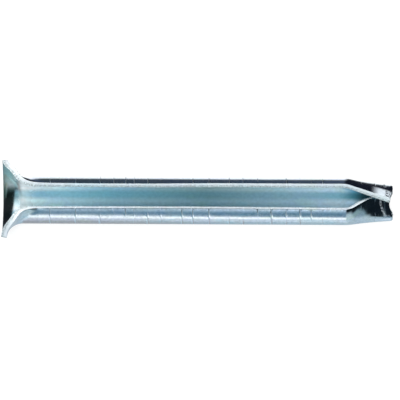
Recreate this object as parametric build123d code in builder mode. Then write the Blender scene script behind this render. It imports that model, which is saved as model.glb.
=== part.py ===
from build123d import *
from math import atan, cos, degrees, pi, radians, sin, tan
import os

# Hollow nail: one strip of sheet steel rolled into a C. The head end is opened into a round funnel,
# the far end is pinched so that one lip lies over the other. X runs from the head to the tip and
# the slot between the lips faces up. Lengths are in millimetres, turns in radians.

# The strip and the shank
nail_length = 66.0
shank_diameter = 8.0
sheet = 0.9
shank_wrap = radians(137.5)  # half of the arc that the shank covers, up to its lips
lip = 0.6  # beside the strip's edges
lip_curl = 0.9  # the lips' radius as a share of the shank's, so that the slot's edges stay within its round

# The funnel head
head_width = 13.74
rim_rise = 1.7  # the rim's centre stands above the shank's
flare_radius = 2.7  # on the outer face
flare_angle = radians(80)
rim_wrap = radians(81)  # half of the arc that the rim still covers
opening_start = 10.0  # where the slot starts to widen, from the rim
opening_end = 1.25
opening_turn = 0.8  # the share of that way after which it levels out

# The pinched tip: each lip is a back, a bend and a flat, and each has its own pace of closing
over_length, over_ease = 8.64, 0.14
over_back, over_back_turn = 3.9, radians(82)
over_bend, over_bend_turn = 1.7, radians(40)
over_flat_turn = radians(3)
under_length, under_ease = 8.2, 0.24
under_back, under_back_turn = 4.55, radians(80)
under_bend, under_bend_turn = 2.85, radians(125)
under_flat, under_flat_turn = 1.88, radians(-11)  # the strip is trimmed on this side, to pass under
die_roll = radians(14)  # the pinch leans to one side, so that the lips pass each other
pinch_lift = 0.8  # how far the back comes in
notch_radius = 5.0  # the strip's end is cut to a shallow hollow
notch_depth = 0.55
notch_shift = 0.2

# What follows from them
shank_radius = shank_diameter / 2
rim_radius = head_width / 2
half_round = shank_radius * shank_wrap
half_strip = half_round + lip  # across the outer face, laid flat
lip_radius = lip_curl * shank_radius
rim_growth = rim_radius - shank_radius
rim_corner = sheet * sin(flare_angle)
brim_growth = rim_growth - flare_radius * (1 - cos(flare_angle))
brim_end = rim_corner + brim_growth / tan(flare_angle)
flare_start = brim_end + flare_radius * sin(flare_angle)
least_lip = 0.3
run_in = 1.0  # plain stretches of the head, where the shank joins it
head_join = opening_start + 2 * run_in
pinch_start = nail_length - over_length
lift_start = nail_length - under_length
rest_angle = atan((rim_radius - rim_rise - shank_radius) / (lift_start - rim_corner))
past_rim = 0.2  # the funnel is drawn past its rim, then cut square to the sheet
opening_steps, flare_steps, brim_steps, pinch_steps = 7, 6, 10, 10  # cuts that each shape is drawn through
reach = 3.0
mesh_tolerance = 0.01


def section(x):
    """The plane across the nail at x, seen with y to the right and the slot at the top."""
    return Plane(origin=(x, 0, 0), x_dir=(0, 1, 0), z_dir=(1, 0, 0))


def heading(angle):
    return Vector(cos(angle), sin(angle))


def fold(start, angle, stretches, side):
    """The edges of the stretches of strip that follow each other from start, each with its length and turn."""
    edges = []
    for length, turn in stretches:
        if turn:
            edges.append(JernArc(start, heading(angle) * side, abs(length / turn), side * degrees(turn)))
        else:
            edges.append(Edge.make_line(start, start + heading(angle) * side * length))
        start = edges[-1] @ 1
        angle += side * turn
    return edges


def wall(x, outer_back, inner_back, angle, lips):
    """The cut through the sheet at x: its two faces, folded from the back to the edge on each side."""
    edges = []
    for side, outer, inner in lips:
        outer_edges = fold(outer_back, angle, outer, side)
        inner_edges = fold(inner_back, angle, inner, side)
        edges += outer_edges + inner_edges + [Edge.make_line(outer_edges[-1] @ 1, inner_edges[-1] @ 1)]
    return section(x) * make_face(edges)


def flare(x, radius):
    """How much wider than the shank the funnel is at x, and its slope there."""
    reached = max(flare_start - x, 0)
    bent = radius * sin(flare_angle)
    if reached < bent:
        height = (radius**2 - reached**2) ** 0.5
        return radius - height, atan(reached / height)
    return radius * (1 - cos(flare_angle)) + (reached - bent) * tan(flare_angle), flare_angle


def opened(x):
    """How far the slot has opened at x, as a share of the way from the shank to the rim."""
    way = min(max((opening_start - x) / (opening_start - opening_end), 0), 1)
    if way < opening_turn:
        return way**2 / opening_turn
    return 1 - (1 - way) ** 2 / (1 - opening_turn)


def head_face(x, growth, inset):
    """One face of the wall at x: where its back is, and its stretches from there to the edge."""
    share = opened(x)
    radius = shank_radius + growth
    turn = min(shank_wrap + (rim_wrap - shank_wrap) * share, (half_strip - least_lip) / radius)
    lip_length = half_strip - radius * turn
    lip_turn = lip_length / lip_radius * (1 - share)
    back = Vector(0, rim_rise * growth / rim_growth - radius + inset)
    return back, [((radius - inset) * turn, turn), (lip_length - inset * lip_turn, lip_turn)]


def head_wall(x):
    growth, slope = flare(x, flare_radius)
    outer_back, outer = head_face(x, growth, 0)
    inner_growth, slope = flare(x, flare_radius + sheet)
    growth = inner_growth - sheet * (1 - cos(slope))
    inner_back, inner = head_face(x + sheet * sin(slope), growth, sheet * cos(slope))
    return wall(x, outer_back, inner_back, 0, [(side, outer, inner) for side in (1, -1)])


def closed(x, length, ease):
    """How far a lip has closed at x: slowly at first, then at an even pace."""
    way = max((x - nail_length) / length + 1, 0)
    begun = way**2 / (2 * ease) if way < ease else way - ease / 2
    return begun / (1 - ease / 2)


def lip_faces(stretches, share):
    """Both faces of one side that has closed by a share, from stretches given as they are when closed."""
    outer = [(length, length / shank_radius * (1 - share) + turn * share) for length, turn in stretches]
    outer.append((lip, lip / lip_radius * (1 - share)))
    inner = [(length - sheet * turn, turn) for length, turn in outer]
    return outer, inner


def tip_wall(x):
    over, under = closed(x, over_length, over_ease), closed(x, under_length, under_ease)
    rolled = shank_radius * die_roll
    over_rest = half_round - rolled - over_back - over_bend
    under_rest = (half_round + rolled - under_back - under_bend) * (1 - under) + under_flat * under
    over_lip = [(over_back, over_back_turn), (over_bend, over_bend_turn), (over_rest, over_flat_turn)]
    under_lip = [(under_back, under_back_turn), (under_bend, under_bend_turn), (under_rest, under_flat_turn)]
    inward = heading(die_roll + pi / 2)
    back = inward * (pinch_lift * under - shank_radius)
    lips = [(1, *lip_faces(over_lip, over)), (-1, *lip_faces(under_lip, under))]
    return wall(x, back, back + inward * sheet, die_roll, lips)


def spread(start, end, steps):
    """Places from start to end, the first of them left out."""
    return [start + (end - start) * step / steps for step in range(1, steps + 1)]


# The straight shank
shank_wall = head_wall(head_join)
with BuildPart() as shank:
    extrude(shank_wall, amount=pinch_start - head_join)

# The funnel: its slot opens first, then the wall flares, and a straight brim ends it
opening_places = [head_join, head_join - run_in, opening_start] + spread(opening_start, flare_start, opening_steps)
flare_places = [flare_start - flare_radius * sin(angle) for angle in spread(0, flare_angle, flare_steps)]
brim_places = spread(brim_end, -past_rim, brim_steps)
head_walls = [head_wall(x) for x in opening_places + flare_places + brim_places]
with BuildPart() as head:
    loft(head_walls)

# The rim's cut, square to the sheet all round
rim_bottom = rim_rise - rim_radius
with BuildPart() as rim_cut:
    with BuildSketch(Plane.XZ):
        with BuildLine():
            outside = (rim_corner + reach * sin(flare_angle), rim_bottom - reach * cos(flare_angle))
            inside = (rim_corner - reach * sin(flare_angle), rim_bottom + reach * cos(flare_angle))
            beyond = rim_bottom - nail_length
            Polyline(outside, inside, (inside[0], beyond), (outside[0], beyond), close=True)
        make_face()
    revolve(axis=Axis((0, 0, rim_rise), (1, 0, 0)))

# The pinched tip
tip_walls = [tip_wall(x) for x in [pinch_start] + spread(pinch_start, nail_length, pinch_steps)]
with BuildPart() as tip:
    loft(tip_walls)

# The hollow cut in the strip's end, across both lips
notch_middle = heading(die_roll) * -notch_shift
notch_axis = heading(die_roll + pi / 2)
notch_plane = Plane(
    origin=(nail_length - notch_depth + notch_radius, notch_middle.X, notch_middle.Y),
    x_dir=(1, 0, 0),
    z_dir=(0, notch_axis.X, notch_axis.Y),
)
with BuildPart() as notch:
    with BuildSketch(notch_plane):
        Circle(notch_radius)
    extrude(amount=shank_diameter, both=True)

with BuildPart() as strip:
    add(head)
    add(rim_cut, mode=Mode.SUBTRACT)
    add(tip)
    add(notch, mode=Mode.SUBTRACT)
    add(shank)

# At rest it lies on the back of its rim and of its shank, with the slot up
lying = Rot(0, degrees(rest_angle), 0) * strip.part
corners = lying.tessellate(mesh_tolerance)[0]
low = Vector(*(min(tuple(corner)[i] for corner in corners) for i in range(3)))
high = Vector(*(max(tuple(corner)[i] for corner in corners) for i in range(3)))
middle = (low + high) / 2

with BuildPart() as nail:
    add(Pos(-middle.X, -middle.Y, -low.Z) * lying)

nail.part.label = "nail"
os.makedirs("parts", exist_ok=True)
export_step(nail.part, "parts/nail.step")
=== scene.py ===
import bpy
from math import atan, cos, pi, radians, sin, sqrt
from mathutils import Matrix, Vector, noise


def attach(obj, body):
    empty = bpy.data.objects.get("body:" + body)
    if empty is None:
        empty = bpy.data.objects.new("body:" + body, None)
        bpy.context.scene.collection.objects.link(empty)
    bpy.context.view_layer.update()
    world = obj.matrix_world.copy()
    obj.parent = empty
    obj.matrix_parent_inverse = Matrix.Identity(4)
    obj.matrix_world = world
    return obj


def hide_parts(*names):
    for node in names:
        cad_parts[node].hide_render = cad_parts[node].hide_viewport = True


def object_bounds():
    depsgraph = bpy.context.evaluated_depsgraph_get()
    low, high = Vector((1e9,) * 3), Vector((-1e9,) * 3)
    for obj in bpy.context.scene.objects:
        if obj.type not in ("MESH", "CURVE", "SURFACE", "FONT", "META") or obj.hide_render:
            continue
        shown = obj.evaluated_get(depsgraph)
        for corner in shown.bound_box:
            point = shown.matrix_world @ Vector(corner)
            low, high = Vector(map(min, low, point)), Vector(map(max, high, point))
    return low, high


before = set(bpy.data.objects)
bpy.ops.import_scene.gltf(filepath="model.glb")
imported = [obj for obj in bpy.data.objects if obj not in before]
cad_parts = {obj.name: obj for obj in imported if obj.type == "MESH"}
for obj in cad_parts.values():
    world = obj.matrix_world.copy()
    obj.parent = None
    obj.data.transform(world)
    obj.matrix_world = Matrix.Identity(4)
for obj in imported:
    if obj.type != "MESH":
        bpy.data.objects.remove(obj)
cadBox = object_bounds()
mm = 0.001
bpy.context.scene.view_settings.view_transform = "Standard"

# The nail lies on its back with the slot up, the head at -X and the pinched tip at +X.
# The camera and the studio are in metres, the strip and its parts in millimetres.

# The camera looks down on the nail, from a little to its -Y side
view = {
    "towards": Vector((0.0201, -0.2419, 0.9703)).normalized(),
    "distance": 0.85,
    "aim": Vector((0.00044, 0.00012, 0.0045)),
    "across": 0.06745,         # the width that it shows at the aim
    "clip": (0.01, 20),
}


def viewAxes():
    towards = view["towards"]
    right = (Vector((1, 0, 0)) - towards * towards.x).normalized()
    return right, towards.cross(right), towards


def addCamera():
    turn = Matrix(viewAxes()).transposed().to_4x4()
    bpy.ops.object.camera_add()
    camera = bpy.context.object
    camera.name = "camera"
    camera.matrix_world = Matrix.Translation(view["aim"] + view["towards"] * view["distance"]) @ turn
    camera.data.lens = camera.data.sensor_width * view["distance"] / view["across"]
    camera.data.clip_start, camera.data.clip_end = view["clip"]
    bpy.context.scene.camera = camera


addCamera()
print("camera placed")


# Small helpers for node trees
def addNode(tree, kind, inputs=None, **settings):
    node = tree.nodes.new(kind)
    for name, value in settings.items():
        setattr(node, name, value)
    for name, value in (inputs or {}).items():
        socket = node.inputs[name]
        if isinstance(value, bpy.types.NodeSocket):
            tree.links.new(value, socket)
        else:
            socket.default_value = value
    return node


def calc(tree, operation, first, second=0.0, third=0.0, clamp=False):
    return addNode(tree, "ShaderNodeMath", {0: first, 1: second, 2: third},
                   operation=operation, use_clamp=clamp).outputs[0]


def mapRange(tree, value, low, high, start=0.0, end=1.0, smooth=False):
    kind = "SMOOTHSTEP" if smooth else "LINEAR"
    return addNode(tree, "ShaderNodeMapRange", {"Value": value, "From Min": low, "From Max": high,
                   "To Min": start, "To Max": end}, interpolation_type=kind).outputs["Result"]


def mixValue(tree, share, first, second):
    return calc(tree, "MULTIPLY_ADD", calc(tree, "SUBTRACT", second, first), share, first)


def mixColour(tree, share, first, second, blend="MIX"):
    node = addNode(tree, "ShaderNodeMix", data_type="RGBA", blend_type=blend)
    for socket, value in ((node.inputs[0], share), (node.inputs[6], first), (node.inputs[7], second)):
        if isinstance(value, bpy.types.NodeSocket):
            tree.links.new(value, socket)
        else:
            socket.default_value = value
    return node.outputs[2]


def addRamp(tree, value, stops):
    node = addNode(tree, "ShaderNodeValToRGB", {"Fac": value})
    ramp = node.color_ramp
    while len(ramp.elements) < len(stops):
        ramp.elements.new(0.5)
    for element, (place, colour) in zip(ramp.elements, stops):
        element.position = place
        element.color = (*colour, 1)
    return node.outputs["Color"]


def separate(tree, vector):
    return addNode(tree, "ShaderNodeSeparateXYZ", {"Vector": vector}).outputs


def combine(tree, x, y, z=0.0):
    return addNode(tree, "ShaderNodeCombineXYZ", {"X": x, "Y": y, "Z": z}).outputs[0]


def stretch(tree, place, alongScale, roundScale, z=0.0):
    return combine(tree, calc(tree, "MULTIPLY", place["X"], alongScale),
                   calc(tree, "MULTIPLY", place["Y"], roundScale), z)


# The light: a plain white studio, whose dark and bright panels show as bands along the metal.
# Angles are round the nail, from straight towards the camera, positive towards +Y.
studio = {
    "straight": [
        (-180, (0.52, 0.58, 0.62)), (-150, (0.40, 0.52, 0.58)), (-128, (0.40, 0.53, 0.60)),
        (-120, (0.62, 0.74, 0.80)), (-103, (0.66, 0.77, 0.84)), (-98, (1.20, 1.22, 1.22)),
        (-89, (1.20, 1.22, 1.22)), (-81, (0.16, 0.27, 0.35)), (-62, (0.12, 0.23, 0.31)),
        (-48, (0.24, 0.37, 0.47)), (-30, (0.12, 0.16, 0.19)), (-15, (0.05, 0.07, 0.09)),
        (20, (0.05, 0.07, 0.09)), (100, (0.04, 0.06, 0.09)), (124, (0.05, 0.07, 0.10)),
        (134, (0.95, 0.98, 1.02)), (146, (1.25, 1.25, 1.25)), (180, (1.25, 1.25, 1.25)),
    ],
    "nearTip": [               # towards the tip's half of the shank
        (-180, (0.52, 0.58, 0.62)), (-150, (0.42, 0.54, 0.59)), (-120, (0.68, 0.79, 0.85)),
        (-104, (0.66, 0.77, 0.84)), (-98, (1.15, 1.20, 1.22)), (-91, (1.15, 1.20, 1.22)),
        (-84, (0.14, 0.24, 0.32)), (-66, (0.10, 0.21, 0.29)), (-57, (0.26, 0.41, 0.52)),
        (-50, (0.52, 0.69, 0.80)), (-43, (1.00, 1.15, 1.22)), (-34, (0.80, 0.92, 1.00)),
        (-15, (0.05, 0.07, 0.09)), (100, (0.07, 0.09, 0.13)), (124, (0.08, 0.10, 0.14)),
        (134, (0.95, 0.98, 1.02)), (146, (1.25, 1.25, 1.25)), (180, (1.25, 1.25, 1.25)),
    ],
    "nearHead": [              # towards the head's end of the shank
        (-180, (0.42, 0.43, 0.44)), (-128, (0.38, 0.39, 0.41)), (-117, (0.50, 0.51, 0.55)),
        (-100, (0.58, 0.60, 0.66)), (-95, (0.80, 0.83, 0.88)), (-91, (1.25, 1.30, 1.30)),
        (-79, (1.25, 1.30, 1.30)), (-73, (0.36, 0.44, 0.52)), (-60, (0.20, 0.30, 0.39)),
        (-50, (0.46, 0.58, 0.68)), (-42, (0.36, 0.45, 0.52)), (-15, (0.05, 0.07, 0.09)),
        (100, (0.04, 0.05, 0.06)), (124, (0.05, 0.06, 0.07)), (136, (0.90, 0.94, 0.96)),
        (148, (1.20, 1.20, 1.20)), (180, (1.20, 1.20, 1.20)),
    ],
    "tip": [                   # from a little towards the tip
        (-180, (0.52, 0.58, 0.62)), (-150, (0.42, 0.52, 0.58)), (-110, (0.48, 0.60, 0.66)),
        (-92, (0.50, 0.62, 0.66)), (-70, (0.42, 0.54, 0.57)), (-55, (0.006, 0.012, 0.016)),
        (110, (0.008, 0.010, 0.018)), (152, (0.012, 0.014, 0.022)), (166, (0.30, 0.32, 0.36)),
        (180, (0.7, 0.7, 0.7)),
    ],
    "farTip": [                # from straight towards the tip
        (-180, (0.50, 0.55, 0.60)), (-110, (0.35, 0.45, 0.50)), (-92, (0.22, 0.32, 0.36)),
        (-82, (0.24, 0.35, 0.38)), (-76, (0.14, 0.22, 0.24)), (-70, (0.005, 0.010, 0.014)),
        (152, (0.008, 0.010, 0.016)), (180, (0.5, 0.5, 0.5)),
    ],
    "head": [                  # from a little towards the head
        (-180, (0.12, 0.20, 0.23)), (-160, (0.20, 0.38, 0.40)), (-130, (0.40, 0.60, 0.62)),
        (-98, (0.22, 0.40, 0.43)), (-70, (0.05, 0.09, 0.11)), (-40, (0.45, 0.66, 0.74)),
        (-14, (0.34, 0.46, 0.52)), (9, (0.50, 0.66, 0.72)), (35, (0.95, 1.05, 1.10)),
        (62, (1.10, 1.12, 1.14)), (88, (0.60, 0.76, 0.82)), (112, (0.02, 0.03, 0.04)),
        (180, (0.02, 0.03, 0.04)),
    ],
    "farHead": [               # from well towards the head
        (-180, (0.11, 0.14, 0.12)), (-137, (0.26, 0.40, 0.41)), (-96, (0.30, 0.40, 0.43)),
        (-67, (0.09, 0.13, 0.13)), (-38, (0.012, 0.018, 0.017)), (165, (0.015, 0.016, 0.02)),
        (180, (0.04, 0.05, 0.05)),
    ],
    "endHead": [               # from right along the nail, past its head
        (-180, (0.035, 0.045, 0.045)), (-162, (0.05, 0.07, 0.06)), (-147, (0.13, 0.16, 0.125)),
        (-120, (0.24, 0.31, 0.27)), (-100, (0.24, 0.29, 0.29)), (-79, (0.10, 0.13, 0.12)),
        (-55, (0.03, 0.045, 0.04)), (-38, (0.012, 0.018, 0.017)), (165, (0.015, 0.016, 0.02)),
        (180, (0.03, 0.04, 0.04)),
    ],
    # the lengthwise part of a direction, from where each set of panels begins to where it is alone
    "mixes": (("nearTip", 0.004, 0.034), ("tip", 0.05, 0.14), ("farTip", 0.42, 0.60),
              ("nearHead", -0.012, -0.034), ("head", -0.10, -0.24), ("farHead", -0.46, -0.58),
              ("endHead", -0.76, -0.90)),
    "lamps": (("nearLamp", (0.0, -0.14, 0.42), 1.9), ("farLamp", (0.0, 0.34, 0.26), 1.5)),
    "lampSize": (0.40, 0.24),
    "floorSize": 4,
    "floorDrop": 0.00002,      # under the nail
    "floorColour": (0.36, 0.355, 0.35),
    "floorGlow": 0.72,
}


def addPanels(tree, place, name):
    return addRamp(tree, place, [((angle + 180) / 360, colour) for angle, colour in studio[name]])


def addWorld():
    world = bpy.data.worlds.new("studio")
    bpy.context.scene.world = world
    world.use_nodes = True
    tree = world.node_tree
    tree.nodes.clear()
    direction = addNode(tree, "ShaderNodeTexCoord").outputs["Generated"]
    towards = view["towards"]
    sides = []
    for axis in (Vector((0, towards.z, -towards.y)), Vector((0, towards.y, towards.z))):
        reach = addNode(tree, "ShaderNodeVectorMath", {0: direction, 1: axis.normalized()},
                        operation="DOT_PRODUCT")
        sides.append(reach.outputs["Value"])
    turn = calc(tree, "ARCTAN2", sides[0], sides[1])
    place = mapRange(tree, turn, -pi, pi)
    along = separate(tree, direction)["X"]
    panels = addPanels(tree, place, "straight")
    for name, start, end in studio["mixes"]:
        share = mapRange(tree, along, start, end, smooth=True)
        panels = mixColour(tree, share, panels, addPanels(tree, place, name))
    path = addNode(tree, "ShaderNodeLightPath").outputs
    seen = mixColour(tree, path["Is Camera Ray"], panels, (1, 1, 1, 1))
    background = addNode(tree, "ShaderNodeBackground", {"Color": seen, "Strength": 1.0})
    addNode(tree, "ShaderNodeOutputWorld", {"Surface": background.outputs[0]})


def addLamps():
    for name, place, power in studio["lamps"]:
        bpy.ops.object.light_add(type="AREA", location=place)
        lamp = bpy.context.object
        lamp.name = name
        lamp.data.shape = "RECTANGLE"
        lamp.data.size, lamp.data.size_y = studio["lampSize"]
        lamp.data.energy = power
        lamp.rotation_euler = Vector(place).to_track_quat("Z", "Y").to_euler()
        lamp.visible_glossy = False


def addFloor():
    bpy.ops.object.select_all(action="DESELECT")
    bpy.ops.mesh.primitive_plane_add(size=studio["floorSize"], location=(0, 0, -studio["floorDrop"]))
    floor = bpy.context.object
    floor.name = "floor"
    bpy.ops.object.transform_apply(location=True, rotation=True, scale=True)
    material = bpy.data.materials.new("paleFloor")
    material.use_nodes = True
    tree = material.node_tree
    tree.nodes.clear()
    path = addNode(tree, "ShaderNodeLightPath").outputs
    paint = addNode(tree, "ShaderNodeBsdfDiffuse", {"Color": (*studio["floorColour"], 1)}).outputs[0]
    glow = addNode(tree, "ShaderNodeEmission", {"Color": (1, 1, 1, 1), "Strength": studio["floorGlow"]})
    lit = addNode(tree, "ShaderNodeAddShader", {0: paint, 1: glow.outputs[0]}).outputs[0]
    own = addNode(tree, "ShaderNodeMixShader", {0: path["Is Camera Ray"], 1: paint, 2: lit}).outputs[0]
    addNode(tree, "ShaderNodeOutputMaterial", {"Surface": own})
    floor.data.materials.append(material)
    floor.visible_glossy = False       # so that the studio's lower panels show in the metal too
    floor.visible_shadow = False


addWorld()
addLamps()
addFloor()
print("studio lit")


# The strip that the nail is rolled from, with its turns in radians
strip = {
    "length": 66.0,
    "wrap": radians(137.5),    # half of the arc that the shank covers, up to its lips
    "thickness": 0.9,
    "shankRadius": 4.0,
    "lip": 0.6,
    "lipRadius": 3.6,
    "edgeRound": (0.16, 0.06),  # outside and inside
    "edgeSteps": 3,
    "cornerRound": 0.4,        # the strip's corners, at the head
    "endRound": 0.45,          # worn at the tip
    "endWear": 0.8,            # the share of that round which is worn off the face
    "drifts": ((0.20, 19.0, 17.0), (0.11, 31.0, 24.0)),  # each lip's extra reach, its middle and its run
    "wander": 0.05,            # how far the sheared edges stray
    "wanderScale": (0.22, 2),  # along and across
    "dents": 0.012,
    "dentScale": (0.35, 0.5, 0.5),  # along, across and up
    "rows": 104,               # of faces, from edge to edge
    "columns": (8, 46, 46, 180, 72),  # on the brim, the flare, the opening, the shank and the pinch
    "openingColumnsEnd": 12,
    "smoothAngle": radians(38),
}
restGap = 0.000002             # in metres, above the CAD box's floor

funnel = {
    "rimRadius": 6.857,
    "rimRise": 1.7,
    "flareRadius": 2.7,
    "flareAngle": radians(80),
    "rimWrap": radians(81),
    "openingStart": 10.0,
    "openingEnd": 1.25,
    "openingTurn": 0.8,
    "leastLip": 0.3,
}

pinch = {
    "roll": radians(14),       # it leans to one side
    "lift": 0.8,
    "over": {"length": 8.64, "ease": 0.14, "back": (3.9, radians(82)), "bend": (1.7, radians(40)),
             "flatTurn": radians(3)},
    "under": {"length": 8.2, "ease": 0.24, "back": (4.55, radians(80)), "bend": (2.85, radians(125)),
              "flatTurn": radians(-11), "flat": 1.88},
    "notchRadius": 5.0,
    "notchDepth": 0.55,
    "notchShift": 0.2,
}

creases = {
    "places": (8.2, 12.5, 16.6, 18.9, 20.9, 22.3, 24.6, 26.8, 30.4, 32.2, 34.9,
               38.3, 40.6, 43.1, 45.4, 47.9, 50.2, 52.1, 54.0, 60.5, 62.9),
    "halfWidth": 0.07,
    "spacing": 0.07,           # free of other columns beside a crease
    "depth": 0.010,
    "strength": (0.60, 1.6),   # its middle and how much it varies round the nail
    "patches": (5.5, 7.3),     # how often it varies, and from one crease to the next
    "endPlace": 64.5,          # where the pinching tool bit, across both lips
    "endHalfWidth": 0.30,
}

halfStrip = strip["wrap"] * strip["shankRadius"] + strip["lip"]
rimGrowth = funnel["rimRadius"] - strip["shankRadius"]
flareReach = funnel["flareRadius"] * sin(funnel["flareAngle"])
arcGrowth = funnel["flareRadius"] * (1 - cos(funnel["flareAngle"]))
brimLength = (rimGrowth - arcGrowth) / sin(funnel["flareAngle"])
arcLength = funnel["flareRadius"] * funnel["flareAngle"]
rimCorner = strip["thickness"] * sin(funnel["flareAngle"])
flareStart = rimCorner + brimLength * cos(funnel["flareAngle"]) + flareReach
pinchStart = strip["length"] - pinch["over"]["length"]
restAngle = atan((funnel["rimRadius"] - funnel["rimRise"] - strip["shankRadius"])
                 / (strip["length"] - pinch["under"]["length"] - rimCorner))


def profile(way):
    # where the outer face is at a distance from the rim along it: x, and how much wider than the shank
    if way < brimLength:
        return rimCorner + way * cos(funnel["flareAngle"]), rimGrowth - way * sin(funnel["flareAngle"])
    if way < brimLength + arcLength:
        angle = funnel["flareAngle"] - (way - brimLength) / funnel["flareRadius"]
        return flareStart - funnel["flareRadius"] * sin(angle), funnel["flareRadius"] * (1 - cos(angle))
    return flareStart + way - brimLength - arcLength, 0


def opened(x):
    way = min(max((funnel["openingStart"] - x) / (funnel["openingStart"] - funnel["openingEnd"]), 0), 1)
    bend = funnel["openingTurn"]
    return way**2 / bend if way < bend else 1 - (1 - way) ** 2 / (1 - bend)


def headSection(x, grown):
    share = opened(x)
    radius = strip["shankRadius"] + grown
    wrap = strip["wrap"] + (funnel["rimWrap"] - strip["wrap"]) * share
    turn = min(wrap, (halfStrip - funnel["leastLip"]) / radius)
    lipLength = halfStrip - radius * turn
    sides = []
    for most, middle, reach in strip["drifts"]:
        length = lipLength + most * max(1 - ((x - middle) / reach) ** 2, 0)
        sides.append([(radius * turn, turn), (length, length / strip["lipRadius"] * (1 - share))])
    return (0, funnel["rimRise"] * grown / rimGrowth - radius), 0, sides[0], sides[1]


def closed(x, lip):
    way = max((x - strip["length"]) / lip["length"] + 1, 0)
    begun = way**2 / (2 * lip["ease"]) if way < lip["ease"] else way - lip["ease"] / 2
    return begun / (1 - lip["ease"] / 2)


def tipSection(x):
    sides = []
    for lip, sign in ((pinch["over"], -1), (pinch["under"], 1)):
        share = closed(x, lip)
        rest = halfStrip - strip["lip"] + sign * strip["shankRadius"] * pinch["roll"]
        rest = rest - lip["back"][0] - lip["bend"][0]
        rest += (lip.get("flat", rest) - rest) * share
        side = [(length, length / strip["shankRadius"] * (1 - share) + turn * share)
                for length, turn in (lip["back"], lip["bend"], (rest, lip["flatTurn"]))]
        side.append((strip["lip"], strip["lip"] / strip["lipRadius"] * (1 - share)))
        sides.append(side)
    out = strip["shankRadius"] - pinch["lift"] * closed(x, pinch["under"])
    return (out * sin(pinch["roll"]), -out * cos(pinch["roll"])), pinch["roll"], sides[0], sides[1]


def foldTo(section, across):
    # the point of the section at a share of the way from its back to its edge
    (y, z), angle, overSide, underSide = section
    sign, side = (1, overSide) if across >= 0 else (-1, underSide)
    way = abs(across) * sum(length for length, turn in side)
    for length, turn in side:
        step = min(way, length)
        part = sign * turn * step / length
        chord = step if abs(part) < 1e-6 else 2 * sin(part / 2) / part * step
        y += sign * chord * cos(angle + part / 2)
        z += sign * chord * sin(angle + part / 2)
        angle += part
        way -= step
        if way <= 0:
            break
    return y, z


def stripPoint(x, grown, across):
    return foldTo(tipSection(x) if x > pinchStart else headSection(x, grown), across)


def stripEnd(across):
    # where the hollow cut ends the strip, found in a few rounds because the pinch narrows along x
    x = strip["length"]
    for _ in range(5):
        y, z = stripPoint(x, 0, across)
        off = y * cos(pinch["roll"]) + z * sin(pinch["roll"]) + pinch["notchShift"]
        reach = sqrt(max(pinch["notchRadius"] ** 2 - off**2, 0))
        x = min(strip["length"], strip["length"] - pinch["notchDepth"] + pinch["notchRadius"] - reach)
    return x


def evenly(start, end, steps):
    return [start + (end - start) * i / steps for i in range(steps)]


def columnPlaces():
    # how far from the rim each column of points is, along the flat strip: closer where it bends
    before = brimLength + arcLength - flareStart
    bounds = [0, brimLength, brimLength + arcLength, strip["openingColumnsEnd"] + before,
              pinchStart + before, strip["length"] + before]
    ways = bounds[-1:]
    for start, end, count in zip(bounds, bounds[1:], strip["columns"]):
        ways += evenly(start, end, count)
    for place, halfWidth in creaseList():
        ways = [way for way in ways if abs(way - place - before) > halfWidth + creases["spacing"]]
        ways += [place + before + shift * halfWidth for shift in (-1, 0, 1)]
    return sorted(ways)


def creaseList():
    return [(place, creases["halfWidth"]) for place in creases["places"]] + [
        (creases["endPlace"], creases["endHalfWidth"])]


def creaseAt(x, across):
    # 0 to 1: how deep a crease is there, each one running only part of the way round
    best = 0
    for number, (place, halfWidth) in enumerate(creaseList()):
        near = 1 - abs(x - place) / halfWidth
        if near > 0:
            usual, varied = creases["strength"]
            often, apart = creases["patches"]
            strength = usual + varied * noise.noise(Vector((across * often, number * apart, 0.5)))
            best = max(best, near * min(max(strength, 0), 1))
    return best


def addSheet():
    ways = columnPlaces()
    rows = strip["rows"]
    bpy.ops.object.select_all(action="DESELECT")
    bpy.ops.mesh.primitive_grid_add(x_subdivisions=len(ways) - 1, y_subdivisions=rows, size=2)
    sheet = bpy.context.object
    sheet.name = "rolledNail"
    mesh = sheet.data
    creaseLayer = mesh.attributes.new("crease", "FLOAT", "POINT")
    wornLayer = mesh.attributes.new("worn", "FLOAT", "POINT")
    ends = {}                  # where the strip ends, row by row
    laid = []                  # each point's place on the flat strip, in millimetres
    for vertex in mesh.vertices:
        column = round((vertex.co.x + 1) / 2 * (len(ways) - 1))
        row = round((vertex.co.y + 1) / 2 * rows)
        across = row / rows * 2 - 1
        x, grown = profile(ways[column])
        if x > pinchStart:
            if row not in ends:
                ends[row] = stripEnd(across)
            x = pinchStart + (x - pinchStart) * (ends[row] - pinchStart) / (strip["length"] - pinchStart)
        wanderPlace = Vector((x * strip["wanderScale"][0], across * strip["wanderScale"][1], 3.1))
        wander = strip["wander"] * noise.noise(wanderPlace) * across**4
        short = max(strip["cornerRound"] - ways[column], 0)
        cut = strip["cornerRound"] - sqrt(strip["cornerRound"] ** 2 - short**2)
        y, z = stripPoint(x, grown, across * (1 - (abs(wander) + cut) / halfStrip))
        creaseLayer.data[vertex.index].value = creaseAt(x, across)
        wornLayer.data[vertex.index].value = max(1 - (ways[-1] - ways[column]) / strip["endRound"], 0)
        shift = strip["shankRadius"] * pinch["roll"] if x > pinchStart else 0
        laid.append((ways[column], across * halfStrip + shift))
        vertex.co = Vector((x, y, z)) * mm
    uvLayer = mesh.uv_layers.new(name="strip")
    for loop in mesh.loops:
        uvLayer.data[loop.index].uv = laid[loop.vertex_index]
    mesh.update()
    return sheet


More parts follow.
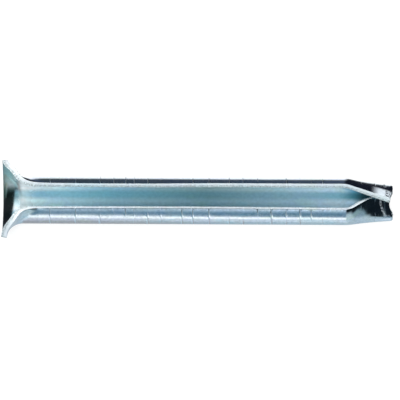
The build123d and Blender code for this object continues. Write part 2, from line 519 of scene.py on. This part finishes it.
def addDents(sheet):
    # creases are pressed in, and the sheet is never quite even
    mesh = sheet.data
    shankBack = Vector((30, 0, -strip["shankRadius"])) * mm
    lowest = min(mesh.vertices, key=lambda vertex: (vertex.co - shankBack).length)
    if lowest.normal.z > 0:    # the outside has to look down there
        bpy.ops.object.mode_set(mode="EDIT")
        bpy.ops.mesh.select_all(action="SELECT")
        bpy.ops.mesh.flip_normals()
        bpy.ops.object.mode_set(mode="OBJECT")
    crease = mesh.attributes["crease"].data
    moves = []
    for vertex in mesh.vertices:
        place = Vector([part * scale for part, scale in zip(vertex.co / mm, strip["dentScale"])])
        uneven = 0.5 + 0.5 * noise.noise(place)
        inward = creases["depth"] * crease[vertex.index].value + strip["dents"] * max(uneven, 0)
        moves.append(vertex.co - vertex.normal * inward * mm)
    for vertex, place in zip(mesh.vertices, moves):
        vertex.co = place
    mesh.update()


def applyModifier(piece, kind, **settings):
    modifier = piece.modifiers.new(kind.lower(), kind)
    for name, value in settings.items():
        setattr(modifier, name, value)
    bpy.context.view_layer.objects.active = piece
    bpy.ops.object.modifier_apply(modifier=modifier.name)


def thicken(sheet):
    mesh = sheet.data
    outside = len(mesh.vertices)
    applyModifier(sheet, "SOLIDIFY", thickness=strip["thickness"] * mm, offset=-1, use_even_offset=True,
                  use_quality_normals=True, material_offset_rim=1)
    depth = mesh.attributes.new("depth", "FLOAT", "POINT")
    depth.data.foreach_set("value", [0.0 if i < outside else 1.0 for i in range(len(mesh.vertices))])
    worn = mesh.attributes["worn"].data
    moves = [vertex.normal * strip["endRound"] * (1 - sqrt(1 - worn[vertex.index].value ** 2)) * mm
             for vertex in mesh.vertices[:outside]]
    for vertex, move in zip(mesh.vertices[:outside], moves):
        vertex.co -= move * strip["endWear"]
    # the lines between a face of the sheet and its sheared edge are rounded, more so on the outside
    rounding = mesh.attributes.new("bevel_weight_edge", "FLOAT", "EDGE")
    sides = {}
    for face in mesh.polygons:
        for key in face.edge_keys:
            sides.setdefault(key, []).append(face.material_index)
    outerRound, innerRound = strip["edgeRound"]
    for line in mesh.edges:
        if sorted(sides[line.key]) == [0, 1]:
            outer = line.vertices[0] < outside and line.vertices[1] < outside
            rounding.data[line.index].value = 1.0 if outer else innerRound / outerRound
    applyModifier(sheet, "BEVEL", width=outerRound * mm, segments=strip["edgeSteps"],
                  limit_method="WEIGHT", miter_outer="MITER_SHARP")


def layDown(sheet):
    # turned to rest on the rim and the shank, and centred in the CAD box
    sheet.data.transform(Matrix.Rotation(restAngle, 4, "Y"))
    corners = [vertex.co for vertex in sheet.data.vertices]
    low = Vector([min(corner[i] for corner in corners) for i in range(3)])
    high = Vector([max(corner[i] for corner in corners) for i in range(3)])
    cadLow, cadHigh = Vector(cadBox[0]), Vector(cadBox[1])
    middle = (cadLow + cadHigh) / 2 - (low + high) / 2
    sheet.data.transform(Matrix.Translation((middle.x, middle.y, cadLow.z + restGap - low.z)))
    for name, size in (("nail", high - low), ("CAD box", cadHigh - cadLow)):
        print(name, "in millimetres:", [round(side / mm, 3) for side in size])


# Finishes
plate = {
    "outside": (0.84, 0.90, 0.94),
    # Inside the bore the colours are the zinc's teal tint with painted light and shade: painted highlights
    # towards the rim and up towards the lips, painted shade on the sides and in the pinched tip
    "insideLightPlaces": [0, 4.0, 6.6, 10.5, 18.3, 35.5, 51.0, 57.6, 60.2, 62.0],  # from the rim to the tip
    "insideBackTintAndPaintedLight": [
        (0.93, 1.00, 1.00), (0.93, 1.00, 1.00), (0.65, 0.87, 0.88), (0.52, 0.72, 0.78), (0.35, 0.55, 0.60),
        (0.22, 0.39, 0.46), (0.38, 0.55, 0.63), (0.58, 0.72, 0.79), (0.58, 0.80, 0.90), (0.20, 0.28, 0.31),
    ],
    "insideSideTintAndPaintedLight": [
        (0.47, 0.65, 0.68), (0.47, 0.65, 0.68), (0.23, 0.45, 0.55), (0.24, 0.47, 0.56), (0.17, 0.40, 0.46),
        (0.12, 0.26, 0.30), (0.24, 0.40, 0.47), (0.21, 0.42, 0.50), (0.07, 0.24, 0.29), (0.02, 0.08, 0.10),
    ],
    "insideTopTintAndPaintedLight": [
        (1.00, 1.00, 1.00), (1.00, 1.00, 1.00), (1.00, 1.00, 1.00), (0.80, 0.99, 1.00), (0.46, 0.71, 0.83),
        (0.34, 0.50, 0.50), (0.64, 0.82, 0.87), (0.82, 0.95, 1.00), (0.18, 0.50, 0.65), (0.06, 0.18, 0.23),
    ],
    "paintedBandPlaces": (0.7, 2.0, 2.6, 4.0),  # round from the back: where one passes into the next
    "tint": 0.8,
    # darker along the lines: painted shade in the creases, and grey marks on the fine roller lines
    "shadedAndMarked": (0.62, 0.68, 0.70),
    "shadeAndMarkShare": 0.30,
    "linesInside": 0.12,       # how clear the rollers' lines are there
    "bumpInside": 0.3,
    "bump": (0.35, 0.00002),   # strength and distance
    "roughOutside": 0.12,
    "roughInside": 0.46,
    "roughFrom": (3.5, 9.0),   # along the bore: where it passes from the outside's to its own
    "cloudy": (-0.04, 0.06),   # how much the roughness drifts
    "dullInside": 0.80,        # the share of its light that it scatters
    "dullFrom": (3.1, 4.3),
}

edge = {
    "burnished": (0.88, 0.93, 0.95),
    "torn": (0.58, 0.64, 0.65),
    "spots": (0.55, 1.6),      # the torn part's darkest and palest, as shares of its colour
    "tornFrom": 0.50,          # of the sheet's thickness
    "tornStray": 0.12,
    "roughBurnished": 0.22,
    "roughTorn": 0.55,
    "metallic": 0.15,
    "tint": 0.5,
    "bump": (0.5, 0.00003),
}


def addNoise(tree, place, scale, detail, roughness=0.5, distortion=0.0):
    return addNode(tree, "ShaderNodeTexNoise", {"Vector": place, "Scale": scale, "Detail": detail,
                   "Roughness": roughness, "Distortion": distortion}).outputs["Fac"]


def newGroup(name, inputs, outputs):
    group = bpy.data.node_groups.new(name, "ShaderNodeTree")
    for side, sockets in (("INPUT", inputs), ("OUTPUT", outputs)):
        for socketName, kind in sockets:
            group.interface.new_socket(socketName, in_out=side, socket_type=kind)
    return group, group.nodes.new("NodeGroupInput").outputs, group.nodes.new("NodeGroupOutput").inputs


def creaseGroup():
    # the lines that the rollers leave across the strip
    group, given, out = newGroup("rollerLines",
                                 [("Place", "NodeSocketVector"), ("Crease", "NodeSocketFloat")],
                                 [("Line", "NodeSocketFloat"), ("Height", "NodeSocketFloat")])
    place = separate(group, given["Place"])
    stretched = stretch(group, place, 5.0, 0.35)
    fineLine = mapRange(group, addNoise(group, stretched, 1.0, 5.0, roughness=0.65), 0.60, 0.72)
    line = calc(group, "MAXIMUM", given["Crease"], calc(group, "MULTIPLY", fineLine, 0.2), clamp=True)
    grainHeight = calc(group, "MULTIPLY", addNoise(group, given["Place"], 7.0, 3.0), 0.35)
    height = calc(group, "SUBTRACT", grainHeight, calc(group, "MULTIPLY", line, 0.8))
    group.links.new(line, out["Line"])
    group.links.new(height, out["Height"])
    return group


def tintGroup():
    # the drifting blue, green and violet of the passivated zinc
    group, given, out = newGroup("passivation",
                                 [("Place", "NodeSocketVector"), ("Colour", "NodeSocketColor"),
                                  ("Amount", "NodeSocketFloat")],
                                 [("Colour", "NodeSocketColor")])
    place = separate(group, given["Place"])
    drift = stretch(group, place, 0.16, 0.35)
    slow = addNoise(group, drift, 1.0, 3.0, distortion=0.4)
    tint = addRamp(group, slow, [(0.30, (0.86, 1.0, 1.06)), (0.45, (1.0, 1.0, 1.0)),
                                 (0.56, (0.96, 0.97, 1.06)), (0.70, (0.98, 1.03, 0.95))])
    shade = mapRange(group, addNoise(group, given["Place"], 1.7, 6.0), 0.3, 0.7, 0.88, 1.06)
    tinted = mixColour(group, given["Amount"], given["Colour"], tint, "MULTIPLY")
    shaded = mixColour(group, 1.0, tinted, combine(group, shade, shade, shade), "MULTIPLY")
    group.links.new(shaded, out["Colour"])
    return group


rollerLines = creaseGroup()
passivation = tintGroup()


def startMaterial(name):
    material = bpy.data.materials.new(name)
    material.use_nodes = True
    tree = material.node_tree
    tree.nodes.clear()
    shader = addNode(tree, "ShaderNodeBsdfPrincipled")
    addNode(tree, "ShaderNodeOutputMaterial", {"Surface": shader.outputs[0]})
    place = addNode(tree, "ShaderNodeUVMap", uv_map="strip").outputs[0]
    depth = addNode(tree, "ShaderNodeAttribute", attribute_name="depth").outputs["Fac"]
    crease = addNode(tree, "ShaderNodeAttribute", attribute_name="crease").outputs["Fac"]
    lines = addNode(tree, "ShaderNodeGroup", node_tree=rollerLines)
    tree.links.new(place, lines.inputs["Place"])
    tree.links.new(crease, lines.inputs["Crease"])
    return material, tree, shader, place, depth, lines.outputs


def addBump(tree, shader, height, strength, distance):
    bump = addNode(tree, "ShaderNodeBump", {"Height": height, "Strength": strength, "Distance": distance})
    tree.links.new(bump.outputs[0], shader.inputs["Normal"])


# The marks of the tool that pinched the tip, and a painted highlight: the pale patch on the top lip stands
# in for a gleam there
jaws = {
    "pressed": (63.0, 64.9),   # along the lip that lies on top: where the scuffed patch begins
    "pressedSide": (8.4, 9.3),  # round from the back
    "bitten": (65.5, 65.7),    # from here to its end it's speckled
    "speckles": (3.2, 2.2),    # how fine, along and round
    "bite": (65.0, 0.19, 0.22),  # a line on the other lip: its place, its slope and half its width
    "biteMiddle": -8,          # where it has that place
    "biteSide": (-5.2, -6.2),
    "biteShare": 0.5,
    # pale and little metallic, so that the lamps make it a painted highlight as well as a scuff
    "scuffHighlightColour": (0.82, 0.90, 0.97),
    "shine": 0.25,
    "rough": 0.5,
}


def jawMarksAndHighlight(tree, along, side, inside):
    # where it pressed and scuffed the plating, on the outside of both lips, with a painted highlight in the
    # patch on the top lip
    stretched = stretch(tree, {"X": along, "Y": side}, *jaws["speckles"])
    speckle = mapRange(tree, addNoise(tree, stretched, 1.0, 4.0, roughness=0.7), 0.42, 0.56)
    onTop = mapRange(tree, side, *jaws["pressedSide"], smooth=True)
    scuffHighlightPatch = calc(tree, "MULTIPLY", onTop, mapRange(tree, along, *jaws["pressed"], smooth=True))
    bitten = mapRange(tree, along, *jaws["bitten"])
    scuffHighlightPatch = calc(tree, "MULTIPLY", scuffHighlightPatch, mixValue(tree, bitten, 1.0, speckle))
    place, slope, halfWidth = jaws["bite"]
    line = calc(tree, "MULTIPLY_ADD", side, slope, place - jaws["biteMiddle"] * slope)
    off = calc(tree, "ABSOLUTE", calc(tree, "SUBTRACT", along, line))
    bite = calc(tree, "MULTIPLY", mapRange(tree, off, halfWidth, halfWidth * 0.6), speckle)
    bite = calc(tree, "MULTIPLY", bite, mapRange(tree, side, *jaws["biteSide"], 0.0, jaws["biteShare"]))
    return calc(tree, "MULTIPLY", calc(tree, "MAXIMUM", scuffHighlightPatch, bite), calc(tree, "SUBTRACT", 1.0, inside))


def plateMaterial():
    material, tree, shader, place, depth, lines = startMaterial("zincPlate")
    sides = separate(tree, place)
    way = mapRange(tree, sides["X"], 0, strip["length"])
    # the bore's tint with its painted light and shade, mixed round from its back to its lips
    paintedRings = []
    for name in ("insideBackTintAndPaintedLight", "insideSideTintAndPaintedLight", "insideTopTintAndPaintedLight"):
        stops = [(x / strip["length"], colour) for x, colour in zip(plate["insideLightPlaces"], plate[name])]
        paintedRings.append(addRamp(tree, way, stops))
    fromBack = calc(tree, "ABSOLUTE", sides["Y"])
    start, end, nextStart, nextEnd = plate["paintedBandPlaces"]
    paintedInside = mixColour(tree, mapRange(tree, fromBack, start, end, smooth=True), paintedRings[0], paintedRings[1])
    paintedInside = mixColour(tree, mapRange(tree, fromBack, nextStart, nextEnd, smooth=True), paintedInside, paintedRings[2])
    inside = mapRange(tree, depth, 0.45, 0.55)
    base = mixColour(tree, inside, (*plate["outside"], 1), paintedInside)
    tint = addNode(tree, "ShaderNodeGroup", {"Place": place, "Colour": base, "Amount": plate["tint"]},
                   node_tree=passivation)
    # painted shade in the creases, and grey marks on the fine roller lines, both darken the plate
    line = calc(tree, "MULTIPLY", lines["Line"], mapRange(tree, inside, 0, 1, 1.0, plate["linesInside"]))
    shadeAndMarkShare = calc(tree, "MULTIPLY", line, plate["shadeAndMarkShare"])
    shadedAndMarked = mixColour(tree, shadeAndMarkShare, tint.outputs["Colour"], (*plate["shadedAndMarked"], 1))
    # the jaws' scuffs, and the painted highlight in the top lip's patch
    scuffAndHighlight = jawMarksAndHighlight(tree, sides["X"], sides["Y"], inside)
    shadedAndMarked = mixColour(tree, scuffAndHighlight, shadedAndMarked, (*jaws["scuffHighlightColour"], 1))
    tree.links.new(shadedAndMarked, shader.inputs["Base Color"])
    boreShare = calc(tree, "MULTIPLY", inside, mapRange(tree, sides["X"], *plate["roughFrom"]))
    rough = mapRange(tree, boreShare, 0, 1, plate["roughOutside"], plate["roughInside"])
    cloud = mapRange(tree, addNoise(tree, place, 0.9, 5.0), 0.3, 0.7, *plate["cloudy"])
    rough = calc(tree, "ADD", rough, cloud)
    marks = calc(tree, "MAXIMUM", line, scuffAndHighlight)
    rough = calc(tree, "ADD", rough, calc(tree, "MULTIPLY", marks, jaws["rough"]), clamp=True)
    tree.links.new(rough, shader.inputs["Roughness"])
    dullShare = calc(tree, "MULTIPLY", inside, mapRange(tree, sides["X"], *plate["dullFrom"], smooth=True))
    dull = calc(tree, "MULTIPLY", dullShare, plate["dullInside"])
    dull = calc(tree, "MAXIMUM", dull, calc(tree, "MULTIPLY", scuffAndHighlight, 1 - jaws["shine"]))
    tree.links.new(calc(tree, "SUBTRACT", 1.0, dull), shader.inputs["Metallic"])
    height = calc(tree, "MULTIPLY", lines["Height"], mapRange(tree, inside, 0, 1, 1.0, plate["bumpInside"]))
    addBump(tree, shader, height, *plate["bump"])
    return material


def edgeMaterial():
    material, tree, shader, place, depth, lines = startMaterial("shearedEdge")
    sides = separate(tree, place)
    stray = mapRange(tree, addNoise(tree, place, 1.4, 4.0), 0.3, 0.7, -edge["tornStray"], edge["tornStray"])
    border = calc(tree, "ADD", depth, stray)
    tornShare = mapRange(tree, border, edge["tornFrom"] - 0.05, edge["tornFrom"] + 0.05)
    whole = stretch(tree, sides, 9.0, 9.0, calc(tree, "MULTIPLY", depth, 5.0))
    spots = mapRange(tree, addNoise(tree, whole, 1.0, 4.0, roughness=0.7), 0.38, 0.62)
    darkest, palest = [(*[part * share for part in edge["torn"]], 1) for share in edge["spots"]]
    base = mixColour(tree, tornShare, (*edge["burnished"], 1), mixColour(tree, spots, darkest, palest))
    tint = addNode(tree, "ShaderNodeGroup", {"Place": place, "Colour": base, "Amount": edge["tint"]},
                   node_tree=passivation)
    tree.links.new(tint.outputs["Colour"], shader.inputs["Base Color"])
    rough = mapRange(tree, tornShare, 0, 1, edge["roughBurnished"], edge["roughTorn"])
    rough = calc(tree, "ADD", rough, calc(tree, "MULTIPLY", lines["Line"], 0.2), clamp=True)
    tree.links.new(rough, shader.inputs["Roughness"])
    shader.inputs["Metallic"].default_value = edge["metallic"]
    scratch = stretch(tree, sides, 14.0, 14.0, depth)
    streak = calc(tree, "MULTIPLY", addNoise(tree, scratch, 1.0, 3.0), 0.4)
    height = calc(tree, "ADD", streak, calc(tree, "MULTIPLY", spots, tornShare))
    addBump(tree, shader, height, *edge["bump"])
    return material


nail = addSheet()
print("strip folded")
nail.data.materials.append(plateMaterial())
nail.data.materials.append(edgeMaterial())
print("finishes mixed")
addDents(nail)
thicken(nail)
layDown(nail)
bpy.ops.object.shade_smooth_by_angle(angle=strip["smoothAngle"])
print("nail laid down,", sum(len(face.vertices) - 2 for face in nail.data.polygons), "triangles")
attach(nail, "root")
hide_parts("nail")
